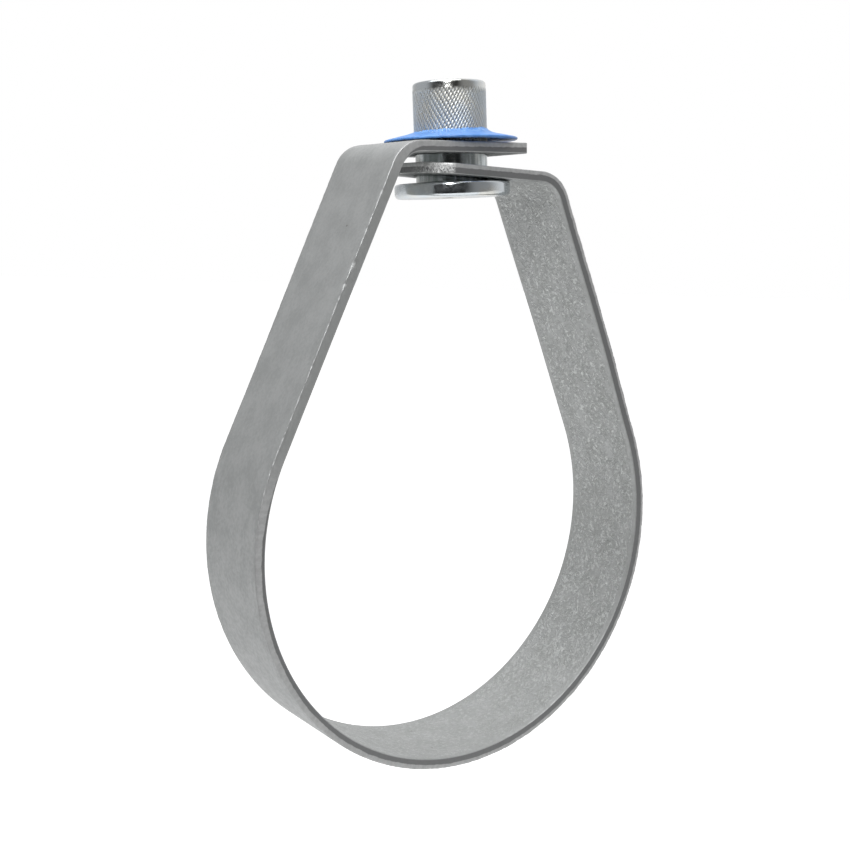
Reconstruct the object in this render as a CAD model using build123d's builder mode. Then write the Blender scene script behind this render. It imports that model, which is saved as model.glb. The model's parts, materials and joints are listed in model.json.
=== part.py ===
"""Swivel ring hanger for a 4 inch pipe on a 3/8 inch threaded rod.

One galvanised strip is bent round the pipe, and its two ends overlap as tabs above it.
A flanged nut stands up through both tabs, and a plastic washer pushed over its knurled
barrel keeps it there, so the ring can swivel about the nut. The origin is the centre of
the ring, the pipe runs along Y, and the rod comes down from +Z.
"""

import os
from math import acos, atan2, cos, degrees, hypot, radians, sin, tan

from build123d import *

# The pipe, and the strip that is bent round it
pipe_diameter = 114.3         # a nominal 4 inch steel pipe
pipe_clearance = 0.4          # all round, between the pipe and the ring
strip_width = 26.8
strip_thickness = 2.7
shoulder_radius = 6.8         # inside of the bend from each leg into its tab
strip_edge_break = 0.25       # off the sheared edges along both sides of the strip

# The two overlapping tabs
tab_rise = 33.1               # from the top of the pipe to the underside of the lower tab
throat_width = 47.3           # between the legs, level with that underside
tab_gap = 3.05                # between the two tabs, on the nut's axis
upper_tab_slope = 3.6         # degrees, rising towards its free end
upper_tab_reach = 14.0        # from the nut's axis to the free end
upper_tab_corner = 0.8        # rounded off both corners of the upper tab
lower_tab_reach = 13.5
lower_tab_clip = 5.2          # cut off both corners of the lower tab, to clear the other leg
hole_clearance = 0.5          # all round the nut's knurled barrel, in both tabs

# The nut, leaning in its loose holes as it hangs
nut_lean = 4.6                # degrees, its top towards the leg that carries the upper tab
nut_height = 28.4
shank_diameter = 18.2
knurl_height = 0.15           # of the knurl's points above the shank
knurl_run_out = 0.6           # height of the cone from the shank out to the knurl
plain_rim = 2.0               # height left unknurled at the top of the barrel
rim_break = 0.8               # off the top edge of the barrel
flange_diameter = 29.4
flange_thickness = 3.7
flange_round = 1.2            # round its lower edge
flange_bevel = 0.8            # round its upper edge
thread_minor_diameter = 8.0   # 3/8 inch, 16 threads to the inch
thread_countersink = 0.9
seat_clearance = 0.1          # flange and washer, where each comes nearest to its tab

# The plastic washer, dished upwards where the knurl has dragged its bore
washer_diameter = 33.4
washer_thickness = 1.2
washer_flat = 2.6             # width of the flat rim outside the dish
washer_dish = 1.9             # rise from the rim to the bore
washer_edge_break = 0.3

# Heights of the two tabs above the ring's centre, and the hole that they share
slope = radians(upper_tab_slope)
lean = radians(nut_lean)
lower_tab_underside = pipe_diameter / 2 + tab_rise
lower_tab_top = lower_tab_underside + strip_thickness
upper_tab_top = lower_tab_top + tab_gap + strip_thickness / cos(slope)
knurl_radius = shank_diameter / 2 + knurl_height

# Each leg is the tangent from its corner of the throat down to the ring
ring_radius = pipe_diameter / 2 + pipe_clearance
throat_corner = hypot(throat_width / 2, lower_tab_underside)
leg_angle = atan2(lower_tab_underside, throat_width / 2) - acos(ring_radius / throat_corner)

# The nut's axis crosses the ring's centre line midway between the tabs
pivot_height = lower_tab_top + tab_gap / 2
nut_frame = Plane(
    origin=(0, 0, pivot_height), x_dir=(cos(lean), 0, sin(lean)), z_dir=(-sin(lean), 0, cos(lean))
)
nut_section = Plane(origin=nut_frame.origin, x_dir=nut_frame.x_dir, z_dir=-nut_frame.y_dir)
nut_axis = Axis(nut_frame.origin, nut_frame.z_dir)
upper_tab_crossing = (upper_tab_top - pivot_height) * cos(slope) / cos(lean - slope)


def leg_corner(side, tab_height, tab_angle):
    """Where the middle line of a leg, carried straight on, meets the middle line of its tab."""
    foot = Vector(side * middle_radius * cos(leg_angle), middle_radius * sin(leg_angle))
    climb = Vector(-side * sin(leg_angle), cos(leg_angle))
    length = (tab_height + foot.X * tan(tab_angle) - foot.Y) / (climb.Y - climb.X * tan(tab_angle))
    return foot + climb * length


def round_edges(turned, diameter):
    """The circular edges of a turned piece that have the given diameter."""
    circles = turned.edges().filter_by(GeomType.CIRCLE)
    return circles.filter_by(lambda edge: abs(2 * edge.radius - diameter) < 1e-6)


# Band: the strip's middle line, drawn from one free end to the other, is given its thickness
middle_radius = ring_radius + strip_thickness / 2
middle_bend = shoulder_radius + strip_thickness / 2
upper_middle = upper_tab_top - strip_thickness / 2 / cos(slope)
lower_middle = lower_tab_top - strip_thickness / 2
upper_end = (upper_tab_reach, upper_middle + upper_tab_reach * tan(slope))
lower_end = (-lower_tab_reach, lower_middle)

with BuildPart() as band:
    with BuildSketch(Plane.XZ):
        with BuildLine():
            ring = CenterArc(
                (0, 0), middle_radius, 180 - degrees(leg_angle), 180 + 2 * degrees(leg_angle)
            )
            FilletPolyline(
                upper_end, leg_corner(-1, upper_middle, slope), ring @ 0, radius=middle_bend
            )
            FilletPolyline(ring @ 1, leg_corner(1, lower_middle, 0), lower_end, radius=middle_bend)
        trace(line_width=strip_thickness)
    extrude(amount=strip_width / 2, both=True)

    # Free ends: the lower tab's corners are clipped, the upper tab's are just rounded off
    chamfer(band.edges().filter_by(Axis.Z), lower_tab_clip)
    upper_tab_normal = Axis((0, 0, 0), (-sin(slope), 0, cos(slope)))
    fillet(band.edges().filter_by(upper_tab_normal), upper_tab_corner)

    # Long edges on both sides of the strip
    sides = band.faces().filter_by(Axis.Y).sort_by(Axis.Y)
    chamfer(sides[0].edges() + sides[-1].edges(), strip_edge_break)

    # One loose hole through both tabs, in line with the nut
    with BuildSketch(nut_frame):
        Circle(knurl_radius + hole_clearance)
    extrude(amount=2 * strip_thickness + tab_gap, both=True, mode=Mode.SUBTRACT)

# Swivel nut: turned in one piece, its flange just under the lower tab at the side it leans from
flange_lift = (flange_diameter / 2 - flange_bevel) * sin(abs(lean))
flange_top = (lower_tab_underside - seat_clearance - flange_lift - pivot_height) / cos(lean)
nut_bottom = flange_top - flange_thickness
nut_top = nut_bottom + nut_height
knurl_bottom = upper_tab_crossing - strip_thickness / 2

with BuildPart() as swivel_nut:
    with BuildSketch(nut_section):
        with BuildLine():
            Polyline(
                (thread_minor_diameter / 2, nut_bottom),
                (flange_diameter / 2, nut_bottom),
                (flange_diameter / 2, flange_top),
                (shank_diameter / 2, flange_top),
                (shank_diameter / 2, knurl_bottom - knurl_run_out),
                (knurl_radius, knurl_bottom),
                (knurl_radius, nut_top - plain_rim),
                (shank_diameter / 2, nut_top - plain_rim),
                (shank_diameter / 2, nut_top),
                (thread_minor_diameter / 2, nut_top),
                close=True,
            )
        make_face()
    revolve(axis=nut_axis)
    flange_edges = round_edges(swivel_nut, flange_diameter).sort_by(nut_axis)
    fillet(flange_edges[0], flange_round)
    chamfer(flange_edges[-1], flange_bevel)
    chamfer(round_edges(swivel_nut, shank_diameter).sort_by(nut_axis)[-1], rim_break)
    chamfer(round_edges(swivel_nut, thread_minor_diameter), thread_countersink)

# Retaining washer: its rim just clears the upper tab all round, and its bore grips the knurl
washer_lift = washer_diameter / 2 * abs(tan(lean - slope))
rim_bottom = upper_tab_crossing + washer_lift + seat_clearance
rim_top = rim_bottom + washer_thickness

with BuildPart() as retaining_washer:
    with BuildSketch(nut_section):
        with BuildLine():
            Polyline(
                (washer_diameter / 2, rim_bottom),
                (washer_diameter / 2, rim_top),
                (washer_diameter / 2 - washer_flat, rim_top),
                (knurl_radius, rim_top + washer_dish),
                (knurl_radius, rim_bottom + washer_dish),
                (washer_diameter / 2 - washer_flat, rim_bottom),
                close=True,
            )
        make_face()
    revolve(axis=nut_axis)
    chamfer(round_edges(retaining_washer, washer_diameter), washer_edge_break)

os.makedirs("parts", exist_ok=True)
band.part.label = "band"
export_step(band.part, "parts/band.step")
swivel_nut.part.label = "swivel_nut"
export_step(swivel_nut.part, "parts/swivel_nut.step")
retaining_washer.part.label = "retaining_washer"
export_step(retaining_washer.part, "parts/retaining_washer.step")
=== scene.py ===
"""The looks of a swivel ring hanger: a galvanised strip bent round the pipe, a zinc-plated nut
with a knurled barrel, and a plastic washer pressed over it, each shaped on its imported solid."""

import json
from math import acos, atan2, cos, hypot, pi, radians, sin, tan

import bpy
import numpy as np
from mathutils import Matrix, Vector


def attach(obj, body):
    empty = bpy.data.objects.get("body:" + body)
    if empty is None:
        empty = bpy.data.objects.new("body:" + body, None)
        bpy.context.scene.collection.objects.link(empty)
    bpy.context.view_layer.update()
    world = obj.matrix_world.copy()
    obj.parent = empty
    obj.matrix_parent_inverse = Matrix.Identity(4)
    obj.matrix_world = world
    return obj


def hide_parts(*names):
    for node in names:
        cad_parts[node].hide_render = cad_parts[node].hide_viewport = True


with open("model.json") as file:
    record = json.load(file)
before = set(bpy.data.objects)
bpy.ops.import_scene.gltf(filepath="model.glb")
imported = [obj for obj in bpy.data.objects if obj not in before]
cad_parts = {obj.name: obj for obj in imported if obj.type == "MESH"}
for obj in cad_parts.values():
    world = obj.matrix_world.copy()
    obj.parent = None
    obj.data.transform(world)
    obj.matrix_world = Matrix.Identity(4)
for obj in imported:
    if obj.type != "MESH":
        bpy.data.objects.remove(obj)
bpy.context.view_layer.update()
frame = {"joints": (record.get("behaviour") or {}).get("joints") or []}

# Band. One length of galvanised steel strip, slit from a wider coil and punched near both ends.
# It is bent round the pipe on a former, and its two ends overlap above the pipe as tabs.
# Sizes are in millimetres, and mm turns them into the frame's metres.
mm = 0.001
pipe_radius = 57.15
pipe_clearance = 0.4
strip_width = 26.8
strip_thickness = 2.7
shoulder_radius = 6.8
tab_rise = 33.1
throat_width = 47.3
tab_gap = 3.05
upper_tab_slope = radians(3.6)
upper_tab_reach = 14.0
upper_tab_corner = 0.8
lower_tab_reach = 13.5
lower_tab_clip = 5.2
hole_radius = 9.75
swivel_axis = Vector(frame["joints"][0]["axis"])
swivel_centre = Vector(frame["joints"][0]["pos_m"]) / mm
nut_lean = atan2(-swivel_axis.x, swivel_axis.z)

half_width = strip_width / 2
half_thickness = strip_thickness / 2
ring_radius = pipe_radius + pipe_clearance
middle_radius = ring_radius + half_thickness
middle_bend = shoulder_radius + half_thickness
lower_underside = pipe_radius + tab_rise
lower_middle = lower_underside + half_thickness
upper_middle = lower_middle + tab_gap + half_thickness + half_thickness / cos(upper_tab_slope)
throat_corner = hypot(throat_width / 2, lower_underside)
leg_angle = atan2(lower_underside, throat_width / 2) - acos(ring_radius / throat_corner)


def leg_corner(side, tab_height, tab_angle):
    """Where the middle line of a leg, carried straight on, meets the middle line of its tab."""
    foot = Vector((side * middle_radius * cos(leg_angle), middle_radius * sin(leg_angle)))
    climb = Vector((-side * sin(leg_angle), cos(leg_angle)))
    length = (tab_height + foot.x * tan(tab_angle) - foot.y) / (climb.y - climb.x * tan(tab_angle))
    return foot + climb * length


# The strip's middle line, from the upper tab's free end to the lower tab's, is straight runs and
# bends in turn. A run has a length and the angle that it turns through.
upper_end = Vector((upper_tab_reach, upper_middle + upper_tab_reach * tan(upper_tab_slope)))
lower_end = Vector((-lower_tab_reach, lower_middle))
upper_corner = leg_corner(-1, upper_middle, upper_tab_slope)
lower_corner = leg_corner(1, lower_middle, 0)
upper_bend = pi / 2 - leg_angle - upper_tab_slope
lower_bend = pi / 2 - leg_angle
upper_set_back = middle_bend * tan(upper_bend / 2)
lower_set_back = middle_bend * tan(lower_bend / 2)
ring_sweep = pi + 2 * leg_angle
ring_foot = Vector((middle_radius * cos(leg_angle), middle_radius * sin(leg_angle)))
upper_leg = (upper_corner - Vector((-ring_foot.x, ring_foot.y))).length - upper_set_back
lower_leg = (lower_corner - ring_foot).length - lower_set_back
run_lengths = np.array([
    (upper_end - upper_corner).length - upper_set_back,
    middle_bend * upper_bend,
    upper_leg,
    middle_radius * ring_sweep,
    lower_leg,
    middle_bend * lower_bend,
    (lower_end - lower_corner).length - lower_set_back,
])
run_turns = np.array([0, upper_bend, 0, ring_sweep, 0, lower_bend, 0])
run_starts = np.concatenate([[0], np.cumsum(run_lengths)])
run_headings = pi + upper_tab_slope + np.concatenate([[0], np.cumsum(run_turns)])
upper_bend_start, leg_start, ring_start, lower_leg_start = run_starts[1:5]
lower_bend_start, lower_tab_start, strip_length = run_starts[5:]


def along_chord(run, distance):
    """The step from a run's start to a distance along it, which is the chord of its arc."""
    half_turn = run_turns[run] / run_lengths[run] * distance / 2
    chord = distance * np.sinc(half_turn / pi)
    heading = run_headings[run] + half_turn
    return np.stack([chord * np.cos(heading), chord * np.sin(heading)], axis=-1)


run_steps = along_chord(np.arange(7), run_lengths)
run_origins = np.array(upper_end) + np.concatenate([[[0, 0]], np.cumsum(run_steps, axis=0)])


def bend_blank(blank):
    """Takes points of the flat blank (along, across, out from the middle towards the pipe) to
    their places on the bent band."""
    along, across, inward = blank.T
    run = np.clip(np.searchsorted(run_starts, along, side="right") - 1, 0, 6)
    distance = along - run_starts[run]
    middle = run_origins[run] + along_chord(run, distance)
    heading = run_headings[run] + run_turns[run] / run_lengths[run] * distance
    x = middle[:, 0] - inward * np.sin(heading)
    z = middle[:, 1] + inward * np.cos(heading)
    return np.stack([x, across, z], axis=-1)


# The two holes are punched square to the strip, where the nut's axis crosses each tab.
upper_crossing = (upper_middle - swivel_centre.z) / (cos(nut_lean) + sin(nut_lean) * tan(upper_tab_slope))
upper_hole = (upper_tab_reach + sin(nut_lean) * upper_crossing) / cos(upper_tab_slope)
lower_crossing = (lower_middle - swivel_centre.z) / cos(nut_lean)
lower_hole = strip_length - lower_tab_reach + sin(nut_lean) * lower_crossing
hole_back = 13.0        # from a hole's centre back to where the plain strip begins
columns = 20            # of the skin's faces across the strip
outline_step = 1.2
station_step = 0.5      # between rows of faces along the plain strip
across = np.linspace(-1, 1, columns + 1) * half_width


def mitred(corners, step):
    """Points along an open outline, and at each one the way straight out from it, mitred at a
    corner so that an inset keeps its width."""
    corners = np.array(corners, float)
    runs = np.diff(corners, axis=0)
    lengths = np.linalg.norm(runs, axis=1)
    outward = np.stack([runs[:, 1], -runs[:, 0]], axis=1) / lengths[:, None]
    points, ways = [], []
    for i, length in enumerate(lengths):
        before = outward[max(i - 1, 0)]
        pieces = max(1, round(length / step))
        for k in range(pieces):
            points.append(corners[i] + runs[i] * k / pieces)
            ways.append((before + outward[i]) / (1 + before @ outward[i]) if k == 0 else outward[i])
    points.append(corners[-1])
    ways.append(outward[-1])
    return np.array(points), np.array(ways)


def rounded_corner(end, side, radius, steps=5):
    """The points of a tab's corner rounded to a radius, going round to the left."""
    turn = np.linspace(0, pi / 2, steps) + (0 if side > 0 else -pi / 2)
    return [
        (end - radius + radius * cos(a), side * (half_width - radius) + radius * sin(a)) for a in turn
    ]


def tab_outline(corners):
    """A tab's free outline, from where the plain strip begins round to there again. Distances are
    measured from the hole's centre towards the free end, and across the strip."""
    return mitred([(-hole_back, -half_width), *corners, (-hole_back, half_width)], outline_step)


upper_reach = upper_hole
lower_reach = strip_length - lower_hole
upper_outline = tab_outline([
    *rounded_corner(upper_reach, -1, upper_tab_corner),
    *rounded_corner(upper_reach, 1, upper_tab_corner),
])
lower_outline = tab_outline([
    (lower_reach - lower_tab_clip, -half_width),
    (lower_reach, -half_width + lower_tab_clip),
    (lower_reach, half_width - lower_tab_clip),
    (lower_reach - lower_tab_clip, half_width),
])

# The sheared edge, from the pipe's side outwards: rolled over where the blade came in, a smooth
# cut land, then torn metal. Each row is (out from the edge, inwards, 1 where the metal is cut).
roll_over = 1.1
roll_depth = 0.16
outer_inset = 0.16
edge_rows = [
    (-roll_over * (1 - sin(a)), half_thickness - roll_depth * (1 - cos(a)), 0)
    for a in np.linspace(0, pi / 2, 7)
]
edge_rows += [(0, share * half_thickness, 1) for share in (0.7, 0.4, 0.1, -0.2)]
edge_rows += [(0.03, -0.5 * half_thickness, 1), (0.03, -0.8 * half_thickness, 1)]
edge_rows += [(-0.01, -0.93 * half_thickness, 1), (-outer_inset, -half_thickness, 0)]
rim_break = 0.25
rim_rows = [
    (-rim_break * (1 - sin(a)), half_thickness - rim_break * (1 - cos(a)), 0)
    for a in np.linspace(0, pi / 2, 4)
]
rim_rows += [(0, 0.6, 1), (0, -0.6, 1)] + [(out, -inward, 0) for out, inward, _ in reversed(rim_rows)]
ring_steps = 5          # from a hole out to its tab's outline


def sheet_of(along, over, inward, cut):
    """A grid of blank points, each with its mark for cut metal."""
    shape = np.shape(over)
    return np.stack([along, over, np.broadcast_to(inward, shape), np.broadcast_to(cut, shape)], axis=-1)


def tab_sheets(hole, direction, outline):
    """The skins of one tab: the face on each side of it, as rings from the hole to the outline,
    and the wall of the hole."""
    points, ways = outline
    seam = np.stack([np.full(columns - 1, -hole_back), across[::-1][1:-1]], axis=1)
    seam_ways = np.stack([np.zeros(columns - 1), seam[:, 1] / half_width], axis=1)
    loop = np.concatenate([points, seam, points[:1]])
    loop_ways = np.concatenate([ways, seam_ways, ways[:1]])
    spokes = loop / np.linalg.norm(loop, axis=1)[:, None]
    made = []
    for inset, inward in ((roll_over, half_thickness), (outer_inset, -half_thickness)):
        edge = loop - inset * loop_ways
        rim = spokes * (hole_radius + rim_break)
        flat = rim + (edge - rim) * np.linspace(0, 1, ring_steps + 1)[:, None, None]
        made.append(sheet_of(hole + direction * flat[..., 0], flat[..., 1], inward, 0))
    wall = [spokes * (hole_radius - out) for out, _, _ in rim_rows]
    made.append(np.stack([
        sheet_of(hole + direction * flat[:, 0], flat[:, 1], inward, cut)
        for flat, (_, inward, cut) in zip(wall, rim_rows)
    ]))
    return made


def edge_sheet(line, ways, along):
    """The sheared edge that follows a line of the outline."""
    rows = []
    for out, inward, cut in edge_rows:
        flat = line + out * ways
        rows.append(sheet_of(along(flat[:, 0]), flat[:, 1], inward, cut))
    return np.stack(rows)


def weld(sheets, loose_faces=()):
    """Joins grids of points, and single faces, into one skin wherever their points coincide. A
    point's first three values are its place, and any others are its marks."""
    points, faces, start = [], [], 0
    for sheet in sheets:
        rows, width, values = sheet.shape
        index = start + np.arange(rows * width).reshape(rows, width)
        quads = np.stack([index[:-1, :-1], index[:-1, 1:], index[1:, 1:], index[1:, :-1]], axis=-1)
        faces += quads.reshape(-1, 4).tolist()
        points.append(sheet.reshape(-1, values))
        start += rows * width
    for face in loose_faces:
        faces.append(list(range(start, start + len(face))))
        points.append(face)
        start += len(face)
    points = np.concatenate(points)
    places = np.round(points[:, :3], 4) + 0.0
    _, first, same = np.unique(places, axis=0, return_index=True, return_inverse=True)
    same = same.ravel()
    faces = [tuple(dict.fromkeys(same[face].tolist())) for face in faces]
    return points[first], [face for face in faces if len(face) > 2]


stations = np.linspace(
    upper_hole + hole_back,
    lower_hole - hole_back,
    round((lower_hole - upper_hole - 2 * hole_back) / station_step) + 1,
)
sheets = tab_sheets(upper_hole, -1, upper_outline) + tab_sheets(lower_hole, 1, lower_outline)
for inset, inward in ((roll_over, half_thickness), (outer_inset, -half_thickness)):
    along, over = np.meshgrid(stations, across * (1 - inset / half_width), indexing="ij")
    sheets.append(sheet_of(along, over, inward, 0))
sheets.append(edge_sheet(*upper_outline, lambda reach: upper_hole - reach))
sheets.append(edge_sheet(*lower_outline, lambda reach: lower_hole + reach))
for side in (-1, 1):
    line = np.stack([stations, np.full(len(stations), side * half_width)], axis=1)
    sheets.append(edge_sheet(line, np.array([[0, side]] * len(stations)), lambda along: along))
band_points, band_faces = weld(sheets)
blank, cut = band_points[:, :3], band_points[:, 3]

# The blade leaves a ragged burr along both outer corners. It is at its worst on the leg that
# carries the upper tab, where the front corner is also nicked.
ragged = np.random.default_rng(11)
burr_places = [0, leg_start, leg_start + 8, ring_start, ring_start + 30, strip_length]
front_burr = [0.10, 0.14, 0.38, 0.32, 0.14, 0.12]
rear_burr = [0.08, 0.08, 0.08, 0.08, 0.08, 0.08]
nicks = ((26.8, 1.3), (31.2, 0.7))     # (below the upper tab's bend, half length)
nick_depth = 0.36
ragged_waves = ((0.55, 1.0), (2.3, 0.65))     # (length of a step along the strip, size)
corner_reach = 0.3      # of the burr, in from the strip's sides
burr_height = 0.04


def raggedness(along):
    """A fine and a coarse random wave along the strip."""
    total = 0
    for step, size in ragged_waves:
        places = np.arange(0, strip_length + step, step)
        total = total + size * np.interp(along, places, ragged.random(len(places)) - 0.5)
    return total


def roughen_edge(blank, cut):
    """Makes the outer corners of the blank ragged, with a burr where the metal is cut."""
    roughened = blank.copy()
    for side, burr in ((-1, front_burr), (1, rear_burr)):
        corner = (side * blank[:, 1] > half_width - corner_reach) & (blank[:, 2] < -0.75 * half_thickness)
        size = raggedness(blank[:, 0]) * np.interp(blank[:, 0], burr_places, burr)
        if side < 0:
            for place, half_length in nicks:
                size -= nick_depth * np.exp(-(((blank[:, 0] - leg_start - place) / half_length) ** 4))
        thrown_up = np.where(cut > 0, 0.5 * size + burr_height, 0.25 * np.minimum(size, 0))
        roughened[:, 1] += side * size * corner
        roughened[:, 2] -= thrown_up * corner
    return roughened


# The press didn't bend the strip quite square: both tabs and the second leg are a little askew.
askew = np.array([      # (along the strip, front lifted, rear lifted, front out, rear out)
    (0, -0.35, 0.12, 0, 0),
    (upper_bend_start - 4, -0.35, 0.12, 0, 0),
    (leg_start, -0.35, 0.8, 0, 0),
    (leg_start + 60, 0, 0, 0, 0),
    (lower_leg_start, 0, 0, 0, 0),
    (lower_leg_start + 0.4 * lower_leg, 0, 0, 0.35, 0),
    (lower_bend_start, -0.35, 0.1, -0.1, -0.5),
    (lower_tab_start + 2, -0.35, 0.3, 0, 0),
    (strip_length, -0.35, 0.5, 0, 0),
])


def askew_at(blank):
    """How far a point of the real strip lies from its square place: lifted, and pushed out."""
    row = np.clip(np.searchsorted(askew[:, 0], blank[:, 0], side="right") - 1, 0, len(askew) - 2)
    share = np.clip((blank[:, 0] - askew[row, 0]) / (askew[row + 1, 0] - askew[row, 0]), 0, 1)
    share = (share * share * (3 - 2 * share))[:, None]
    between = askew[row, 1:] * (1 - share) + askew[row + 1, 1:] * share
    front_lift, rear_lift, front_out, rear_out = between.T
    rear = blank[:, 1] / strip_width + 0.5
    return front_lift + (rear_lift - front_lift) * rear, front_out + (rear_out - front_out) * rear


def add_piece(name, points, faces, marks):
    """A smooth-shaded piece from points in millimetres, keeping the marks that its finish reads."""
    mesh = bpy.data.meshes.new(name)
    mesh.from_pydata((points * mm).tolist(), [], faces)
    for mark, values in marks.items():
        kind, field = ("FLOAT", "value") if values.ndim == 1 else ("FLOAT_VECTOR", "vector")
        layer = mesh.attributes.new(mark, kind, "POINT")
        layer.data.foreach_set(field, values.astype(np.float32).ravel())
    mesh.validate()
    mesh.shade_smooth()
    piece = bpy.data.objects.new(name, mesh)
    bpy.context.scene.collection.objects.link(piece)
    bpy.context.view_layer.objects.active = piece
    bpy.ops.object.mode_set(mode="EDIT")
    bpy.ops.mesh.select_all(action="SELECT")
    bpy.ops.mesh.normals_make_consistent(inside=False)
    bpy.ops.object.mode_set(mode="OBJECT")
    return piece


# The smooth cut land takes most of the edge's thickness, but little of it on the leg that carries
# the upper tab, where the whole edge has been rubbed. The mark is how far inwards the land begins.
ring_middle = (ring_start + lower_leg_start) / 2
land_places = [
    0, upper_bend_start, leg_start, ring_start, ring_start + 20, ring_middle, lower_leg_start, strip_length
]
land_begins = np.interp(blank[:, 0], land_places, [-0.2, 0.1, 1.5, 1.2, 0.4, -0.3, -0.6, -0.3])
rubbed_places = [leg_start - 6, leg_start + 4, ring_start - 4, ring_start + 14]
rubbed = np.interp(blank[:, 0], rubbed_places, [0, 1, 1, 0])
shaped = roughen_edge(blank, cut)
lift, out = askew_at(blank)
shaped[:, 2] -= out
band = add_piece(
    "band_strip",
    bend_blank(shaped) + np.outer(lift, (0, 0, 1)),
    band_faces,
    {"blank": blank, "cut": cut, "land": land_begins, "rubbed": rubbed},
)


def node(tree, kind, inputs=(), **settings):
    """One shader node, its inputs given as values or as the sockets that they come from."""
    made = tree.nodes.new("ShaderNode" + kind)
    for name, value in settings.items():
        setattr(made, name, value)
    for name, value in dict(inputs).items():
        if isinstance(value, bpy.types.NodeSocket):
            tree.links.new(value, made.inputs[name])
        else:
            made.inputs[name].default_value = value
    return made


def calculate(tree, operation, *values):
    """The result of one sum on numbers or sockets."""
    return node(tree, "Math", dict(enumerate(values)), operation=operation).outputs["Value"]


def ramp(tree, value, low, high, start=0.0, end=1.0):
    """A smooth change from start to end as a value goes from low to high."""
    inputs = {"Value": value, "From Min": low, "From Max": high, "To Min": start, "To Max": end}
    return node(tree, "MapRange", inputs, interpolation_type="SMOOTHSTEP").outputs["Result"]


def grain(tree, place, scale, detail=3.0, distortion=0.0, stretch=(1, 1, 1)):
    """Noise in millimetres: scale is its waves in a millimetre, times stretch in each direction."""
    if stretch != (1, 1, 1):
        place = node(tree, "VectorMath", {0: place, 1: stretch}, operation="MULTIPLY").outputs["Vector"]
    inputs = {"Vector": place, "Scale": scale, "Detail": detail, "Distortion": distortion}
    return node(tree, "TexNoise", inputs).outputs["Fac"]


def blend(tree, share, first, second):
    """A colour between two others, by a share from 0 to 1."""
    made = node(tree, "Mix", {0: share}, data_type="RGBA")
    for index, colour in ((6, first), (7, second)):
        if isinstance(colour, bpy.types.NodeSocket):
            tree.links.new(colour, made.inputs[index])
        else:
            made.inputs[index].default_value = (*colour, 1)
    return made.outputs[2]


def new_finish(name):
    """An empty material, with its tree and its main shader."""
    material = bpy.data.materials.new(name)
    material.use_nodes = True
    return material, material.node_tree, material.node_tree.nodes["Principled BSDF"]


# Galvanised sheet is dull grey and faintly clouded. The face towards the pipe is crusted with
# fine curved crystals that fade towards the foot of the ring, the outer one has long rolling
# marks, and both have a few dark specks.
galvanised, tree, surface = new_finish("dull_galvanised_strip")
surface.inputs["Metallic"].default_value = 0.6
zinc_dark = (0.345, 0.355, 0.355)
zinc_light = (0.415, 0.425, 0.425)
crust_dark = (0.385, 0.395, 0.39)
crust_light = (0.44, 0.45, 0.45)
zinc_crystal = (0.60, 0.62, 0.61)
cut_land = (0.215, 0.218, 0.22)
torn_dark = (0.47, 0.475, 0.475)
torn_light = (0.55, 0.555, 0.555)
rubbed_grey = (0.36, 0.37, 0.365)
burr_steel_and_highlight = (0.50, 0.51, 0.51)
scraped_steel_and_sparkle = (0.90, 0.91, 0.90)
speck_brown = (0.10, 0.09, 0.08)

place = node(tree, "Attribute", attribute_name="blank").outputs["Vector"]
cut_mark = node(tree, "Attribute", attribute_name="cut").outputs["Fac"]
land_mark = node(tree, "Attribute", attribute_name="land").outputs["Fac"]
rubbed_mark = node(tree, "Attribute", attribute_name="rubbed").outputs["Fac"]
axes = node(tree, "SeparateXYZ", {"Vector": place}).outputs
inner_side = ramp(tree, axes["Z"], -0.4, 0.4)
margin = ramp(tree, calculate(tree, "ABSOLUTE", axes["Y"]), half_width - 0.8, half_width - 1.8)

cloud = grain(tree, place, 0.16, detail=5.0)
fine_cloud = grain(tree, place, 1.2, detail=4.0)
rolling = grain(tree, place, 0.7, detail=4.0, stretch=(0.06, 1, 1))
tone = calculate(tree, "MULTIPLY_ADD", cloud, 0.45, calculate(tree, "MULTIPLY", fine_cloud, 0.28))
tone = calculate(tree, "MULTIPLY_ADD", rolling, 0.12, tone)
tone = ramp(tree, tone, 0.31, 0.54)
outer_colour = blend(tree, tone, zinc_dark, zinc_light)
inner_colour = blend(tree, tone, crust_dark, crust_light)
sheet_colour = blend(tree, inner_side, outer_colour, inner_colour)

wrinkle = grain(tree, place, 0.5, detail=3.0, distortion=1.8)
veins = calculate(tree, "ABSOLUTE", calculate(tree, "SUBTRACT", wrinkle, 0.5))
patches = ramp(tree, grain(tree, place, 0.30, 2.0), 0.25, 0.45)
inner_face = calculate(tree, "MULTIPLY", inner_side, margin)
from_foot = calculate(tree, "ABSOLUTE", calculate(tree, "SUBTRACT", axes["X"], ring_middle))
inner_face = calculate(tree, "MULTIPLY", inner_face, ramp(tree, from_foot, 10, 75, 0.5, 1.0))
crusted = calculate(tree, "MULTIPLY", patches, inner_face)
crystals = calculate(tree, "MULTIPLY", ramp(tree, veins, 0.065, 0.015), crusted)
glints = calculate(tree, "MULTIPLY", crystals, ramp(tree, grain(tree, place, 0.9, 2.0), 0.44, 0.54))
sheet_colour = blend(tree, glints, sheet_colour, zinc_crystal)

cells = node(tree, "TexVoronoi", {"Vector": place, "Scale": 0.10}).outputs
chosen = ramp(tree, node(tree, "SeparateXYZ", {"Vector": cells["Color"]}).outputs["X"], 0.62, 0.63)
speck = calculate(tree, "MULTIPLY", ramp(tree, cells["Distance"], 0.034, 0.018), chosen)
sheet_colour = blend(tree, calculate(tree, "MULTIPLY", speck, 0.8), sheet_colour, speck_brown)

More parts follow.
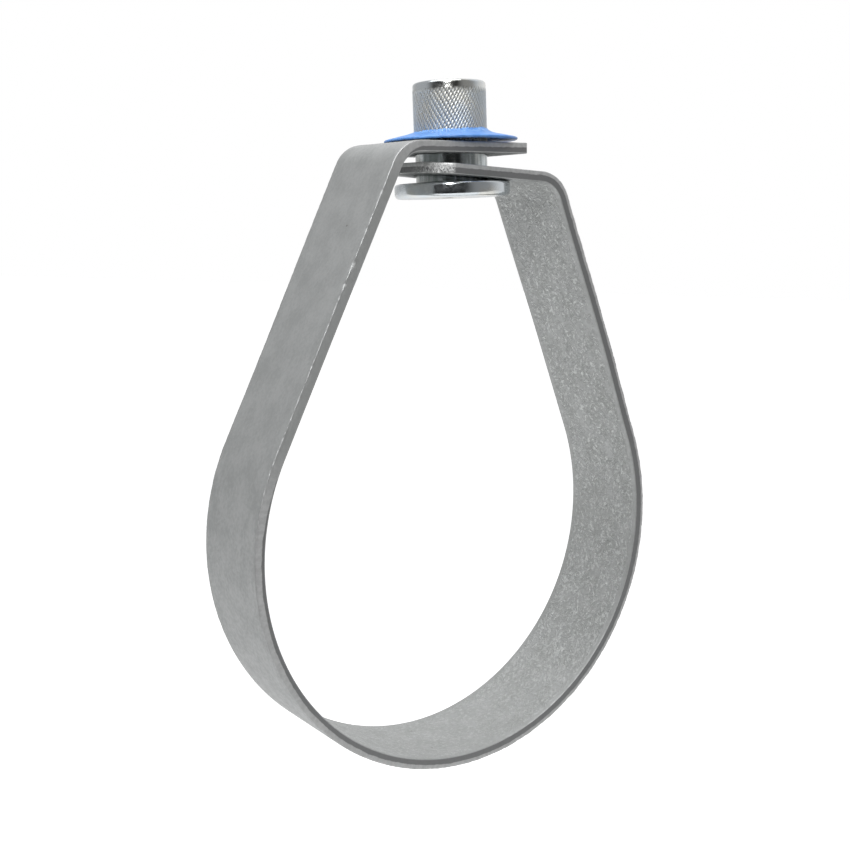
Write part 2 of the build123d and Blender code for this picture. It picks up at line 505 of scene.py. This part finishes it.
edge_wave = grain(tree, place, 0.5, detail=3.0, stretch=(1, 0.2, 0.2))
land_line = calculate(tree, "MULTIPLY_ADD", calculate(tree, "SUBTRACT", edge_wave, 0.5), 0.5, land_mark)
above_line = calculate(tree, "SUBTRACT", axes["Z"], land_line)
torn_grain = grain(tree, place, 1.3, detail=4.0, stretch=(1, 1, 0.6))
torn_colour = blend(tree, ramp(tree, torn_grain, 0.3, 0.7), torn_dark, torn_light)
torn_colour = blend(tree, calculate(tree, "MULTIPLY", rubbed_mark, 0.8), torn_colour, rubbed_grey)
edge_colour = blend(tree, ramp(tree, above_line, -0.12, 0.12), torn_colour, cut_land)
# The burr along the outer corner is bare steel, lighter in broken spots; that brightness is partly a
# painted highlight on the burr.
burr_line = ramp(tree, axes["Z"], -1.0, -1.22)
burr_highlight_share = calculate(tree, "MULTIPLY", burr_line, ramp(tree, grain(tree, place, 1.3, 3.0), 0.49, 0.57))
edge_colour = blend(tree, burr_highlight_share, edge_colour, burr_steel_and_highlight)

# The shears scraped the lower tab's clipped front corner bright, and less so the end beside it; its bright
# spots are partly painted sparkle highlights.
clip_start = strip_length - lower_tab_clip
near_clip = ramp(tree, axes["X"], clip_start - 0.4, clip_start + 0.2)
near_clip = calculate(tree, "MULTIPLY", near_clip, ramp(tree, axes["Y"], -1.5, -10.0))
scrape_and_sparkle = ramp(tree, grain(tree, place, 2.6, 4.0, stretch=(1, 1, 0.8)), 0.36, 0.64, 0.0, 0.75)
edge_colour = blend(tree, calculate(tree, "MULTIPLY", near_clip, scrape_and_sparkle), edge_colour, scraped_steel_and_sparkle)
cut_share = ramp(tree, cut_mark, 0.25, 0.85)
tree.links.new(blend(tree, cut_share, sheet_colour, edge_colour), surface.inputs["Base Color"])

sheen = ramp(tree, fine_cloud, 0.35, 0.65, 0.56, 0.44)
sheen = calculate(tree, "MULTIPLY_ADD", glints, -0.1, sheen)
tree.links.new(sheen, surface.inputs["Roughness"])
crust = calculate(tree, "MULTIPLY", ramp(tree, veins, 0.13, 0.0), crusted)
relief = calculate(tree, "MULTIPLY_ADD", crust, 2.0, calculate(tree, "MULTIPLY", fine_cloud, 0.4))
bump = node(tree, "Bump", {"Height": relief, "Distance": 0.07 * mm, "Strength": 1.0})
tree.links.new(bump.outputs["Normal"], surface.inputs["Normal"])
band.data.materials.append(galvanised)
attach(band, "ring")
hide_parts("band")

# Swivel nut. Cold-headed and turned steel with a bright zinc plate: a round flange below the
# tabs, a plain shank through both holes, and a diamond-knurled barrel with a plain rim above.
# It hangs on the rod by its thread, and the flange carries the band.
nut_height = 28.4
shank_radius = 9.1
knurl_height = 0.15
knurl_run_out = 0.6
plain_rim = 2.0
rim_round = 0.8
flange_radius = 14.7
flange_thickness = 3.7
flange_round = 1.2
flange_bevel = 0.8
thread_minor = 4.0
thread_pitch = 25.4 / 16
thread_root = thread_minor + 0.76
countersink = 0.9
seat_clearance = 0.1

flange_lift = (flange_radius - flange_bevel) * sin(nut_lean)
flange_top = (lower_underside - seat_clearance - flange_lift - swivel_centre.z) / cos(nut_lean)
nut_bottom = flange_top - flange_thickness
nut_top = nut_bottom + nut_height
upper_tab_top = upper_middle + half_thickness / cos(upper_tab_slope)
tab_crossing = (upper_tab_top - swivel_centre.z) * cos(upper_tab_slope) / cos(nut_lean - upper_tab_slope)
knurl_radius = shank_radius + knurl_height
knurl_bottom = tab_crossing - half_thickness
knurl_top = nut_top - plain_rim

coarse_starts = 48          # grooves that run up to the left
coarse_depth = 0.13
fine_starts = 72            # grooves that run up to the right
fine_depth = 0.20
knurl_angle = radians(30)
nut_columns = 9 * coarse_starts     # round the nut, and 6 to each fine groove
run_in_rows = 4             # over which the grooves deepen from each end of the knurl
knurl_step = 2 * pi * knurl_radius / nut_columns / tan(knurl_angle)
knurl_rows = round((knurl_top - knurl_bottom) / knurl_step)


def arc(centre, radius, start, end, steps):
    """Points of an outline's arc as (radius, height), its angles given in degrees."""
    return [
        (centre[0] + radius * cos(a), centre[1] + radius * sin(a))
        for a in np.radians(np.linspace(start, end, steps))
    ]


def turn_points(radius, height, angles, crest=1):
    """Points at their radius and height about the nut's axis, each with its mark for a crest."""
    radius, height, angles, crest = np.broadcast_arrays(radius, height, angles, crest)
    return np.stack([radius * np.cos(angles), radius * np.sin(angles), height, crest], axis=-1)


def turned(outline, angles):
    """A grid of points turned about the nut's axis from an outline of (radius, height)."""
    radius, height = np.array(outline).T[:, :, None]
    return turn_points(radius, height, angles)


nut_angles = np.linspace(0, 2 * pi, nut_columns + 1)
mouth_radius = thread_minor + countersink
face_radius = 6.6
shank_fillet = 0.35
flange_outline = [
    (face_radius, nut_bottom),
    *arc((flange_radius - flange_round, nut_bottom + flange_round), flange_round, -90, 0, 8),
    *arc((flange_radius - flange_bevel, flange_top - flange_bevel), flange_bevel, 0, 90, 7),
    *arc((shank_radius + shank_fillet, flange_top + shank_fillet), shank_fillet, 270, 180, 5),
    (shank_radius, 0),
    (shank_radius, knurl_bottom - knurl_run_out),
]
rim_radius = shank_radius + 0.08
rim_outline = [
    (rim_radius, knurl_top + 0.4),
    *arc((rim_radius - rim_round, nut_top - rim_round), rim_round, 0, 90, 8),
    (face_radius, nut_top),
]


def knurl_grooves(starts, columns_along):
    """How far a point lies in one set of the knurl's grooves: 1 along the middle of a groove, and 0
    on the crests between them."""
    half_pitch = nut_columns / starts / 2
    groove_share = 0.55
    from_groove = 1 - abs(abs(columns_along % (2 * half_pitch) - half_pitch) / half_pitch)
    return 0.5 + 0.5 * np.cos(pi * np.minimum(1, from_groove / groove_share))


column, row = np.meshgrid(np.arange(nut_columns + 1), np.arange(knurl_rows + 1))
coarse_groove = knurl_grooves(coarse_starts, column + row)
fine_groove = knurl_grooves(fine_starts, column - row)
crest = 1 - coarse_groove - fine_groove
run_in = np.minimum(1, np.minimum(row, knurl_rows - row) / run_in_rows)
knurl_sheet = turn_points(
    knurl_radius - (coarse_depth * coarse_groove + fine_depth * fine_groove) * run_in,
    knurl_bottom + (knurl_top - knurl_bottom) * row / knurl_rows,
    nut_angles,
    crest,
)
barrel_sheet = np.concatenate([
    turned([flange_outline[-1]], nut_angles), knurl_sheet, turned([rim_outline[0]], nut_angles)
])

# The thread follows its own helix, so each row of it climbs one pitch in a turn.
thread_share = 3            # columns of the nut to each one of the thread's
thread_columns = nut_columns // thread_share
thread_turns = int(nut_height / thread_pitch) + 2
thread_form = [(0, thread_minor), (0.3, thread_minor), (0.44, (thread_minor + thread_root) / 2)]
thread_form += [(0.58, thread_root), (0.72, thread_root), (0.86, (thread_minor + thread_root) / 2)]
thread_angles = np.linspace(0, 2 * pi, thread_columns + 1)
thread_sheet = []
for turn in range(-1, thread_turns):
    for share, radius in thread_form:
        height = nut_bottom + (turn + share + thread_angles / 2 / pi) * thread_pitch
        height = np.clip(height, nut_bottom, nut_top)
        mouth = mouth_radius - np.minimum(height - nut_bottom, nut_top - height)
        wall = np.maximum(radius, mouth)
        thread_sheet.append(turn_points(wall, height, thread_angles))
thread_sheet = np.array(thread_sheet)

face_rings = []
for height in (nut_bottom, nut_top):
    outer = turned([(face_radius, height)], nut_angles)[0]
    inner = turned([(mouth_radius, height)], thread_angles)[0]
    for k in range(thread_columns):
        outer_run = outer[thread_share * k:thread_share * (k + 1) + 1]
        face_rings.append(np.concatenate([outer_run, inner[[k + 1, k]]]))

nut_points, nut_faces = weld(
    [turned(flange_outline, nut_angles), barrel_sheet, turned(rim_outline, nut_angles), thread_sheet],
    face_rings,
)
nut_frame = Matrix((
    (cos(nut_lean), 0, -sin(nut_lean)), (0, 1, 0), (sin(nut_lean), 0, cos(nut_lean))
))


def stand_on_axis(points):
    """Takes points on the nut's own axis to their places in the frame."""
    return points @ np.array(nut_frame).T + np.array(swivel_centre)


nut = add_piece(
    "knurled_nut",
    stand_on_axis(nut_points[:, :3]),
    nut_faces,
    {"turned": nut_points[:, :3], "crest": nut_points[:, 3]},
)


def axis_distance(tree, place):
    """How far a point of a turned piece lies from the nut's axis."""
    flat = node(tree, "VectorMath", {0: place, 1: (1, 1, 0)}, operation="MULTIPLY").outputs["Vector"]
    return node(tree, "VectorMath", {0: flat}, operation="LENGTH").outputs["Value"]


# The plate is bright, a little blue in places and straw-coloured in others, over fine turning marks.
# It is duller on the knurl, and the shank between the tabs is darkened with painted shade in streaks.
plated, tree, surface = new_finish("bright_zinc_plate")
surface.inputs["Metallic"].default_value = 1.0
plate_blue = (0.63, 0.67, 0.70)
plate_straw = (0.68, 0.68, 0.65)
groove_painted_shade = (0.36, 0.37, 0.35)
shank_painted_shade = (0.29, 0.32, 0.32)
place = node(tree, "Attribute", attribute_name="turned").outputs["Vector"]
crest_mark = node(tree, "Attribute", attribute_name="crest").outputs["Fac"]
tint = ramp(tree, grain(tree, place, 0.12, 2.0), 0.42, 0.62)
plate_colour = blend(tree, tint, plate_blue, plate_straw)
# Painted shade: the knurl's grooves are coloured darker than its crests, standing in for the shade that
# falls in them.
plate_colour = blend(tree, ramp(tree, crest_mark, -1.0, 0.9), groove_painted_shade, plate_colour)
height = node(tree, "SeparateXYZ", {"Vector": place}).outputs["Z"]
above_flange = ramp(tree, height, flange_top, flange_top + 0.5)
# Painted shade: the shank between the tabs is darkened in vertical streaks, standing in for its shadow and
# the dark reflections there.
on_shank = calculate(tree, "MULTIPLY", above_flange, ramp(tree, height, knurl_bottom, knurl_bottom - 1))
shade_streaks = ramp(tree, grain(tree, place, 0.8, 3.0, stretch=(1, 1, 0.1)), 0.40, 0.60, 1.0, 0.45)
plate_colour = blend(tree, calculate(tree, "MULTIPLY", on_shank, shade_streaks), plate_colour, shank_painted_shade)
tree.links.new(plate_colour, surface.inputs["Base Color"])
wear = grain(tree, place, 0.8, 4.0)
polish = ramp(tree, wear, 0.35, 0.65, 0.14, 0.24)
unpolished = ramp(tree, height, knurl_top + 0.4, knurl_top - 0.6, 0.0, 0.37)
unpolished = calculate(tree, "MULTIPLY", unpolished, ramp(tree, height, knurl_bottom - 1, knurl_bottom))
tree.links.new(calculate(tree, "ADD", polish, unpolished), surface.inputs["Roughness"])
turned_place = node(tree, "CombineXYZ", {"X": axis_distance(tree, place), "Z": height}).outputs["Vector"]
relief = calculate(tree, "MULTIPLY_ADD", wear, 1.5, grain(tree, turned_place, 3.5, 2.0))
bump = node(tree, "Bump", {"Height": relief, "Distance": 0.004 * mm, "Strength": 0.7})
tree.links.new(bump.outputs["Normal"], surface.inputs["Normal"])
nut.data.materials.append(plated)
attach(nut, "nut")
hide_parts("swivel_nut")

# Retaining washer. Stamped from blue polyethylene sheet and pushed down over the knurl, which has
# dragged its bore up into a collar, so that it stays on the barrel and keeps the nut in the tabs.
washer_radius = 16.9
washer_thickness = 1.1
washer_tip = 0.6            # thickness at the outside
washer_cone = 1.55          # rise from the outside to the bore
collar_low = 0.25           # of the collar above the cone, on its lowest side
collar_high = 1.05
collar_side = radians(-34)  # from +X round to its highest side
rim_raise = 0.3             # of the side across from that one, which has sprung up
pleats = 23
pleat_depth = 0.11
tooth_height = 0.16         # of the teeth that the knurl has cut in the collar
washer_lift = washer_radius * abs(tan(nut_lean - upper_tab_slope))
rim_bottom = tab_crossing + washer_lift + seat_clearance
washer_angles = np.linspace(0, 2 * pi, nut_columns + 1)
washer_bore = knurl_radius - 0.05
uneven = np.random.default_rng(5)
side_waves = [(k, uneven.random() * 2 * pi, uneven.random()) for k in (2, 3, 5, 7, 11)]
wave = sum(size * np.cos(k * washer_angles + start) for k, start, size in side_waves) / 2.5
pleat = np.cos(pleats * washer_angles + 2.5 * np.cos(3 * washer_angles))
tooth = abs(np.cos(coarse_starts / 2 * washer_angles)) * (1 + 0.6 * wave)
high_side = (0.5 + 0.5 * np.cos(washer_angles - collar_side)) ** 2


def washer_top(inwards):
    """Height of the washer's upper face round it, at a share of the way in from the outside."""
    collar = collar_low + (collar_high - collar_low) * high_side + 0.12 * wave
    near_bore = inwards ** 8
    rise = washer_cone * inwards + collar * near_bore + pleat_depth * pleat * inwards * (1 - near_bore)
    return washer_tip + rise + tooth_height * (tooth - 0.5) * inwards ** 24


raised = rim_raise * (0.5 - 0.5 * np.cos(washer_angles - collar_side))
inward_shares = 1 - np.linspace(1, 0, 15) ** 1.4
washer_rows = []
for share in inward_shares[:0:-1]:
    radius = washer_radius + (washer_bore - washer_radius) * share
    washer_rows.append((radius, washer_top(share)))
tip_round = washer_tip / 2
for a in np.radians(np.linspace(90, -90, 9)):
    tip_radius = washer_radius - tip_round + tip_round * cos(a)
    washer_rows.append((tip_radius, tip_round + tip_round * sin(a) + 0.02 * pleat))
for share in inward_shares[1:]:
    radius = washer_radius + (washer_bore - washer_radius) * share
    washer_rows.append((radius, np.maximum(0, washer_top(share) - washer_thickness)))
washer_rows.append(washer_rows[0])
washer_sheet = np.stack([
    turn_points(radius, rim_bottom + raised + height, washer_angles) for radius, height in washer_rows
])
washer_points, washer_faces = weld([washer_sheet])
washer = add_piece(
    "plastic_washer", stand_on_axis(washer_points[:, :3]), washer_faces, {"turned": washer_points[:, :3]}
)

# Soft, slightly waxy plastic, paler where the knurl has stretched it.
plastic, tree, surface = new_finish("blue_polyethylene")
washer_blue = (0.088, 0.26, 0.67)
washer_light = (0.135, 0.33, 0.75)
stretched_blue = (0.36, 0.58, 0.92)
place = node(tree, "Attribute", attribute_name="turned").outputs["Vector"]
cloud = grain(tree, place, 0.5, 3.0)
plastic_colour = blend(tree, ramp(tree, cloud, 0.38, 0.62), washer_blue, washer_light)
drawn = grain(tree, place, 1.1, 3.0, stretch=(1, 1, 0.25))
near_bore = ramp(tree, axis_distance(tree, place), 12.5, 9.6)
stretched = calculate(tree, "MULTIPLY", near_bore, ramp(tree, drawn, 0.45, 0.65))
plastic_colour = blend(tree, calculate(tree, "MULTIPLY", stretched, 0.7), plastic_colour, stretched_blue)
tree.links.new(plastic_colour, surface.inputs["Base Color"])
tree.links.new(ramp(tree, cloud, 0.35, 0.65, 0.30, 0.46), surface.inputs["Roughness"])
relief = calculate(tree, "ADD", grain(tree, place, 1.6, 4.0), drawn)
bump = node(tree, "Bump", {"Height": relief, "Distance": 0.03 * mm, "Strength": 0.5})
tree.links.new(bump.outputs["Normal"], surface.inputs["Normal"])
washer.data.materials.append(plastic)
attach(washer, "nut")
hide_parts("retaining_washer")

# Floor. The hanger hangs well above a white sheet, so that only a soft shadow reaches it. The sheet
# ends a little way in front, and the room beyond that edge is dark.
camera_heading = radians(34.29)
towards_camera = Vector((-sin(camera_heading), -cos(camera_heading), 0))
camera_right = Vector((cos(camera_heading), -sin(camera_heading), 0))
floor_height = -0.36
floor_size = 60.0
front_edge = 0.45
floor_place = towards_camera * (front_edge - floor_size / 2) + Vector((0, 0, floor_height))
bpy.ops.mesh.primitive_plane_add(size=floor_size, location=floor_place, rotation=(0, 0, -camera_heading))
floor = bpy.context.object
floor.name = "floor"
paper, tree, surface = new_finish("white_paper")
surface.inputs["Base Color"].default_value = (0.85, 0.85, 0.85, 1)
surface.inputs["Roughness"].default_value = 0.9
surface.inputs["Emission Color"].default_value = (1, 1, 1, 1)
glow_seen = 0.7
glow_reflected = 0.42
rays = node(tree, "LightPath").outputs
glow = calculate(tree, "MULTIPLY", rays["Is Glossy Ray"], glow_reflected)
glow = calculate(tree, "MULTIPLY_ADD", rays["Is Camera Ray"], glow_seen, glow)
tree.links.new(glow, surface.inputs["Emission Strength"])
floor.data.materials.append(paper)

# Studio light. The backdrop is white, both sides of the room are grey, and the part round the
# camera is dark. One soft lamp hangs overhead, and a smaller one is above the camera.
room_levels = (      # (degrees round from the camera, to its right, brightness)
    (-180, 0.80), (-135, 0.50), (-105, 0.50), (-75, 0.48), (-50, 0.04), (24, 0.03),
    (45, 0.28), (75, 0.30), (105, 0.74), (140, 0.95), (180, 0.80),
)
world = bpy.data.worlds.new("studio")
bpy.context.scene.world = world
world.use_nodes = True
tree = world.node_tree
background = tree.nodes["Background"]
background.inputs["Color"].default_value = (1, 1, 1, 1)
way = node(tree, "TexCoord").outputs["Generated"]
ahead = node(tree, "VectorMath", {0: way, 1: towards_camera}, operation="DOT_PRODUCT").outputs["Value"]
aside = node(tree, "VectorMath", {0: way, 1: camera_right}, operation="DOT_PRODUCT").outputs["Value"]
azimuth = calculate(tree, "ARCTAN2", aside, ahead)
turn_share = calculate(tree, "MULTIPLY_ADD", azimuth, 1 / (2 * pi), 0.5)
room = node(tree, "ValToRGB", {"Fac": turn_share})
stops = room.color_ramp.elements
while len(stops) < len(room_levels):
    stops.new(0.5)
for stop, (degrees_round, brightness) in zip(stops, room_levels):
    stop.position = degrees_round / 360 + 0.5
    stop.color = (brightness, brightness, brightness, 1)
seen = node(tree, "LightPath").outputs["Is Camera Ray"]
level = calculate(tree, "MAXIMUM", seen, room.outputs["Color"])
tree.links.new(level, background.inputs["Strength"])


def add_lamp(name, place, aim, width, length, power):
    """An oblong soft lamp at a place, facing a point, in metres and watts."""
    lamp = bpy.data.lights.new(name, "AREA")
    lamp.shape = "RECTANGLE"
    lamp.size = width
    lamp.size_y = length
    lamp.energy = power
    holder = bpy.data.objects.new(name, lamp)
    bpy.context.scene.collection.objects.link(holder)
    holder.location = place
    holder.rotation_euler = (Vector(aim) - Vector(place)).to_track_quat("-Z", "Y").to_euler()


add_lamp("overhead_lamp", (-0.20, 0.0, 1.0), (0, 0, 0.03), 0.8, 0.8, 7.5)
add_lamp("front_lamp", (-0.38, -0.41, 0.45), (0, 0, 0.06), 0.11, 0.36, 3.0)

# Camera, at the photograph's place and angle.
camera_place = Vector((-180.23, -255.98, 64.29)) * mm
camera_dip = radians(6.81)
camera_tilt = radians(1.70)
camera = bpy.data.cameras.new("camera")
camera.lens = 51.32
camera.sensor_width = 36
viewer = bpy.data.objects.new("camera", camera)
bpy.context.scene.collection.objects.link(viewer)
facing = Matrix.Rotation(-camera_heading, 4, "Z") @ Matrix.Rotation(pi / 2 - camera_dip, 4, "X")
viewer.matrix_world = Matrix.Translation(camera_place) @ facing @ Matrix.Rotation(camera_tilt, 4, "Z")
bpy.context.scene.camera = viewer
bpy.context.scene.view_settings.view_transform = "Standard"
